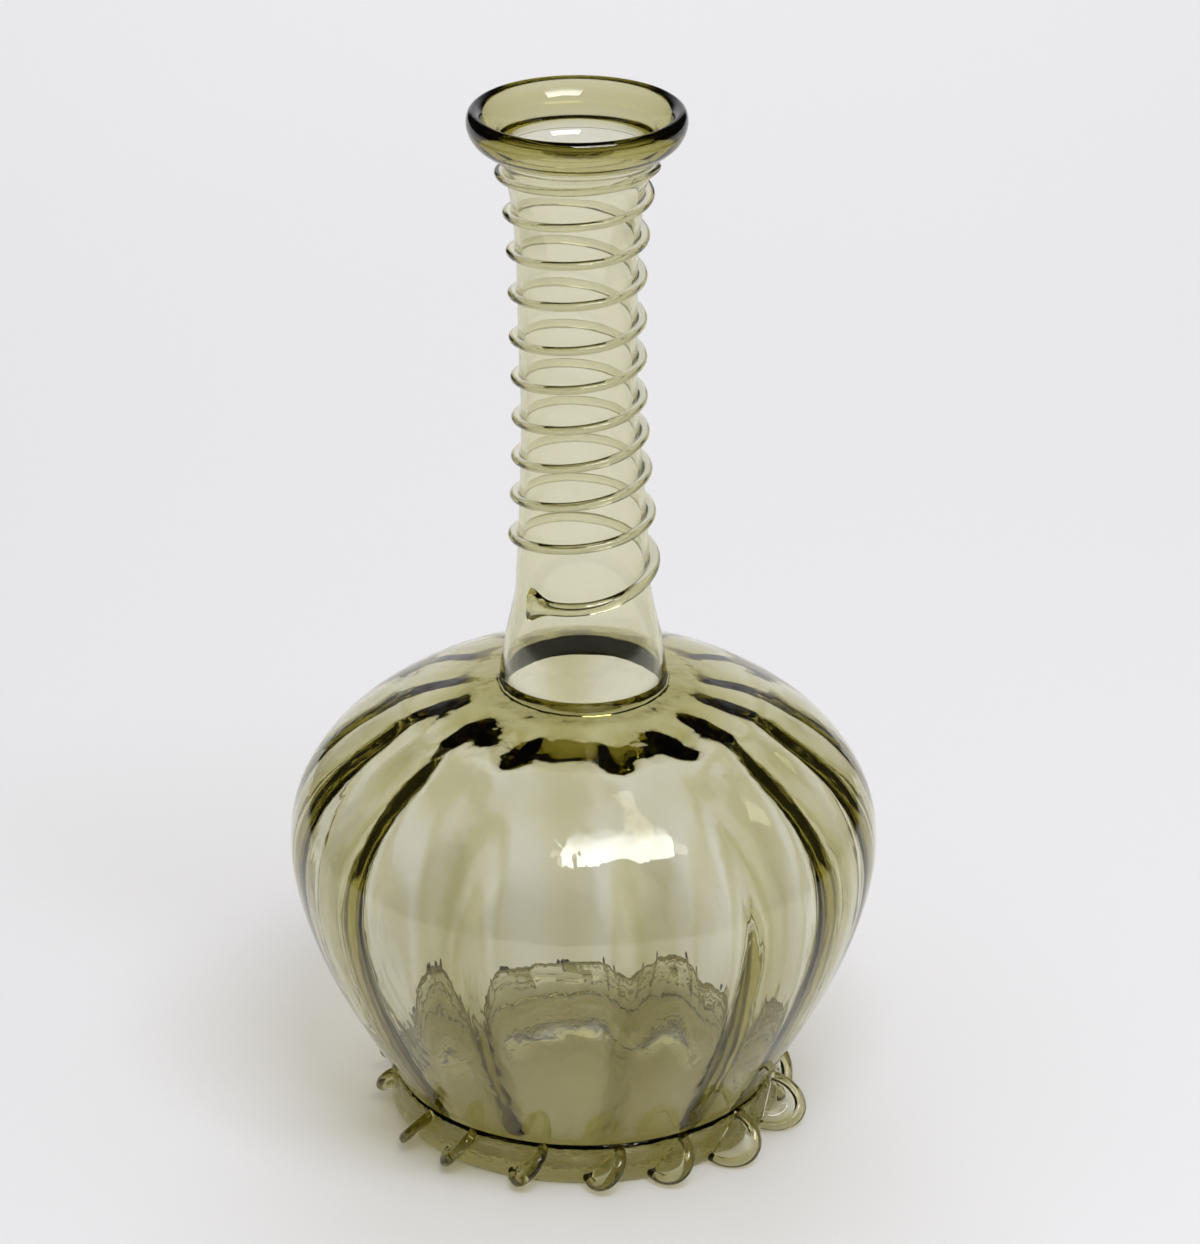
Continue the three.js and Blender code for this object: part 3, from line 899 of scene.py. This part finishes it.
def thread_route():
    """Heights of the thread's middle against its compass angle, both ends included."""
    places = [(THREAD_START_DEGREES, THREAD_START_HEIGHT), (0, THREAD_FRONT_HEIGHT)]
    for turn, (right, left) in enumerate(zip(THREAD_RIGHT, THREAD_LEFT)):
        places += [(90 + 360 * turn, right), (270 + 360 * turn, left)]
    places.append((90 + 360 * len(THREAD_RIGHT), THREAD_END_HEIGHT))
    return [(math.radians(degrees), height) for degrees, height in places]


def thread_size(shape, route, along):
    """Height of the thread's middle, its half height and how far it stands proud, along its way."""
    turns = (along - route[0][0]) / (2 * math.pi)
    left = (route[-1][0] - along) / (2 * math.pi)
    gain = 1 + START_GAIN * np.exp(-turns.clip(0) / START_TURNS)
    flare = BLOB_HEIGHT * np.exp(-(turns / BLOB_TURNS) ** 2)
    close = smooth(0, END_TURNS, left)
    half = (shape.thread_height * gain + flare) / 2 * lifted(END_HEIGHT_SHARE, close)
    proud = shape.thread_depth * (1 + gain) / 2 * lifted(END_DEPTH_SHARE, close)
    return through(route, along), half, proud


class VASE_OT_thread(bpy.types.Operator):
    """Wind the thread round the neck"""
    bl_idname = "vase.thread"
    bl_label = "Thread"

    def execute(self, context):
        shape = context.scene.vase_shape
        route = thread_route()
        along = np.linspace(route[0][0], route[-1][0], THREAD_ROWS)
        middle, half, proud = thread_size(shape, route, along)
        # The thread's section is round, and open only where it has melted onto the neck
        limit = math.pi - math.asin(THREAD_CONTACT)
        around = np.linspace(-limit, limit, THREAD_COLUMNS)
        stand = (np.cos(around) - math.cos(limit)) / (1 - math.cos(limit))
        height = middle[:, None] + half[:, None] * np.sin(around)[None, :]
        radius = neck_radius(height) + JOIN_GAP + proud[:, None] * stand[None, :]
        rows = polar(along[:, None], radius, height, lean(context, height))
        points, faces = body_from_rows(rows, False)
        joined = range(THREAD_COLUMNS - 1, (THREAD_ROWS - 1) * THREAD_COLUMNS, THREAD_COLUMNS)
        material = glass_material(context, "thread_glass", ripple_scale=60, ripple_gain=0.6, depth_gain=0.8)
        add_piece("thread_wound", points, faces, material, "neck_thread", joined)
        return {"FINISHED"}


# Foot

TRAIL_COLUMNS = 480
TRAIL_SEAT_ROWS = 7
TRAIL_TOE_ROWS = 6
TRAIL_BROW_ROWS = 7
LOBE_ROWS = 33


class VASE_OT_foot_trail(bpy.types.Operator):
    """Lay the foot trail"""
    bl_idname = "vase.foot_trail"
    bl_label = "Foot trail"

    def execute(self, context):
        shape = context.scene.vase_shape
        seat = bulb_base(shape)[:TRAIL_SEAT_ROWS] + (TRAIL_GAP, -TRAIL_GAP)
        toe_start = (RING_RADIUS - TRAIL_TOE_IN, 0)
        toe = bend(toe_start, (RING_RADIUS, 0), (RING_RADIUS, TRAIL_TOE_UP), TRAIL_TOE_ROWS)
        brow_start = (RING_RADIUS, RING_HEIGHT - TRAIL_BROW_DOWN)
        brow_corner = (RING_RADIUS, RING_HEIGHT - TRAIL_BROW_CORNER)
        brow = bend(brow_start, brow_corner, seat[0], TRAIL_BROW_ROWS)
        outline = np.vstack([seat, [(seat[-1][0] + TRAIL_HEEL, 0)], toe, brow[:-1]])
        points, faces = body_from_rows(spun(outline, angles(TRAIL_COLUMNS)), True)
        # Only the trail's top edge is one glass with the bulb; under it a film of air is left
        joined = faces_after([0], TRAIL_COLUMNS)
        material = glass_material(context, "foot_glass", ripple_scale=120, ripple_gain=9, smear=0.03,
                                  depth_gain=0.6)
        add_piece("foot_trail", points, faces, material, "foot_ring", joined)
        return {"FINISHED"}


def lobe_body(angle, reach, length):
    """Points and faces of one pinched lobe: a half disc with a round rim and a thin web."""
    slant, droop, yaw = (math.radians(degrees) for degrees in (LOBE_SLANT, LOBE_DROOP, LOBE_YAW))
    outward = polar(angle, 1.0, 0.0)
    sideways = polar(angle + math.pi / 2, 1.0, 0.0)
    upward = np.array([0, 0, 1.0])
    along = sideways * math.cos(slant) + upward * math.sin(slant)
    across = np.cross(along, outward)
    out = outward * math.cos(droop) * math.cos(yaw) + sideways * math.sin(yaw) - upward * math.sin(droop)
    seat = polar(angle, RING_RADIUS + LOBE_GAP, LOBE_SEAT_HEIGHT)

    # Half thickness from the seat out to the rim, and then the section down one side and up the other
    bead = 1 - LOBE_RIM / 2 / reach
    bulge = np.sqrt(np.clip(1 - ((LOBE_STEPS - bead) * reach / (LOBE_RIM / 2)) ** 2, 0, 1)) * LOBE_RIM / 2
    half = np.maximum(bulge, np.where(LOBE_STEPS < bead, LOBE_WEB / 2, 0))
    share = np.concatenate([LOBE_STEPS, LOBE_STEPS[-2::-1]])[:, None]
    thick = np.concatenate([half, -half[-2::-1]])[:, None]
    turn = np.linspace(-math.pi / 2, math.pi / 2, LOBE_ROWS)[:, None, None]
    fanned = out * share * reach * np.cos(turn) + along * share * length / 2 * np.sin(turn)
    rows = seat + fanned + across * thick

    count = rows.shape[1]
    points = np.vstack([rows.reshape(-1, 3), [seat + across * LOBE_HUB, seat - across * LOBE_HUB]])
    front, back = len(points) - 2, len(points) - 1
    faces = []
    for row in range(LOBE_ROWS - 1):
        a, b = row * count, (row + 1) * count
        faces += [(a + i, a + i + 1, b + i + 1, b + i) for i in range(count - 1)]
        faces += [(front, a, b), (b + count - 1, a + count - 1, back)]
    first = range(count)
    last = range((LOBE_ROWS - 1) * count, LOBE_ROWS * count)
    faces.append((front, *last, back, *reversed(first)))
    return points, faces


class VASE_OT_foot_lobes(bpy.types.Operator):
    """Pinch the lobes out of the foot trail"""
    bl_idname = "vase.foot_lobes"
    bl_label = "Foot lobes"

    def execute(self, context):
        material = glass_material(context, "lobe_glass", ripple_scale=70, ripple_gain=1, smear=0.03,
                                  depth_gain=1.7)
        for node in LOBES:
            low, high = box_mm(node)
            middle = (low + high) / 2
            angle = math.atan2(middle[0], -middle[1])
            large = smooth(*LOBE_GROWS, math.degrees(angle))
            front = abs(math.degrees(angle)) < SHORT_LOBE_DEGREES
            reach = LOBE_REACH + LOBE_REACH_MORE * large if front else SHORT_LOBE_REACH
            points, faces = lobe_body(angle, reach, LOBE_LENGTH + LOBE_LENGTH_MORE * large)
            name = node.replace("foot_lobe", "pinched_lobe")
            add_piece(name, points, faces, material, node)
        return {"FINISHED"}


# Panel and registration

PIECES = [VASE_OT_bulb, VASE_OT_neck, VASE_OT_lip, VASE_OT_thread, VASE_OT_foot_trail, VASE_OT_foot_lobes]


class VASE_PT_panel(bpy.types.Panel):
    """Lists the pieces of the vase"""
    bl_idname = "VASE_PT_panel"
    bl_label = "Stem vase"
    bl_space_type = "VIEW_3D"
    bl_region_type = "UI"
    bl_category = "Vase"

    def draw(self, context):
        for operator in [VASE_OT_stage, *PIECES]:
            self.layout.operator(operator.bl_idname)


GROUPS = {"vase_shape": VaseShape, "vase_glass": VaseGlass, "vase_stage": VaseStage}
CLASSES = [*GROUPS.values(), VASE_OT_stage, *PIECES, VASE_PT_panel]


def register():
    for item in CLASSES:
        bpy.utils.register_class(item)
    for name, group in GROUPS.items():
        setattr(bpy.types.Scene, name, PointerProperty(type=group))


def unregister():
    for name in GROUPS:
        delattr(bpy.types.Scene, name)
    for item in reversed(CLASSES):
        bpy.utils.unregister_class(item)


def main():
    register()
    bpy.ops.vase.stage()
    bpy.ops.vase.bulb()
    bpy.ops.vase.neck()
    bpy.ops.vase.lip()
    bpy.ops.vase.thread()
    bpy.ops.vase.foot_trail()
    bpy.ops.vase.foot_lobes()


if __name__ == "__main__":
    main()
